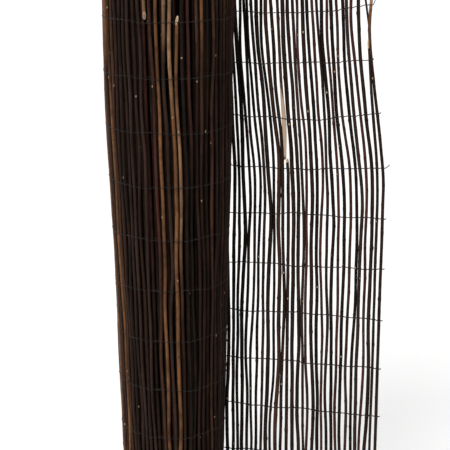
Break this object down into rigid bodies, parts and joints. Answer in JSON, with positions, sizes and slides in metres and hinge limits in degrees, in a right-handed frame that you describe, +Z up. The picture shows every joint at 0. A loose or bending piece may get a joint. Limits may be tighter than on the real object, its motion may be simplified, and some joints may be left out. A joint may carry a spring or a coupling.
{
  "type": "willow screen",
  "caption": "Garden screen of bark-on willow rods bound side by side with rows of twisted wire, partly unrolled from a standing roll.",
  "frame": {"origin": "on the ground at the middle of the footprint", "axes": "+Z up along the rods, +X from the roll towards the free edge of the unrolled run, -Y the front"},
  "size_m": [0.6131, 0.2905, 1.5],
  "materials": {
    "bark": "matt to silky dark brown bark",
    "wire": "dull black annealed steel wire"
  },
  "bodies": {
    "root": {"rod_01": "bark", "rod_02": "bark", "rod_03": "bark", "rod_04": "bark", "rod_05": "bark", "rod_06": "bark", "rod_07": "bark", "rod_08": "bark", "rod_09": "bark", "rod_10": "bark", "rod_11": "bark", "rod_12": "bark", "rod_13": "bark", "rod_14": "bark", "rod_15": "bark", "rod_16": "bark", "rod_17": "bark", "rod_18": "bark", "rod_19": "bark", "rod_20": "bark", "rod_21": "bark", "rod_22": "bark", "rod_23": "bark", "rod_24": "bark", "rod_25": "bark", "rod_26": "bark", "rod_27": "bark", "rod_28": "bark", "rod_29": "bark", "rod_30": "bark", "rod_31": "bark", "rod_32": "bark", "rod_33": "bark", "rod_34": "bark", "rod_35": "bark", "rod_36": "bark", "rod_37": "bark", "roll_turn_1": "bark", "roll_turn_2": "bark", "roll_turn_3": "bark", "roll_turn_4": "bark", "binding_wire_01": "wire", "binding_wire_02": "wire", "binding_wire_03": "wire", "binding_wire_04": "wire", "binding_wire_05": "wire", "binding_wire_06": "wire", "binding_wire_07": "wire", "binding_wire_08": "wire", "binding_wire_09": "wire", "binding_wire_10": "wire", "binding_wire_11": "wire", "binding_wire_12": "wire", "binding_wire_13": "wire"}
  },
  "joints": []
}
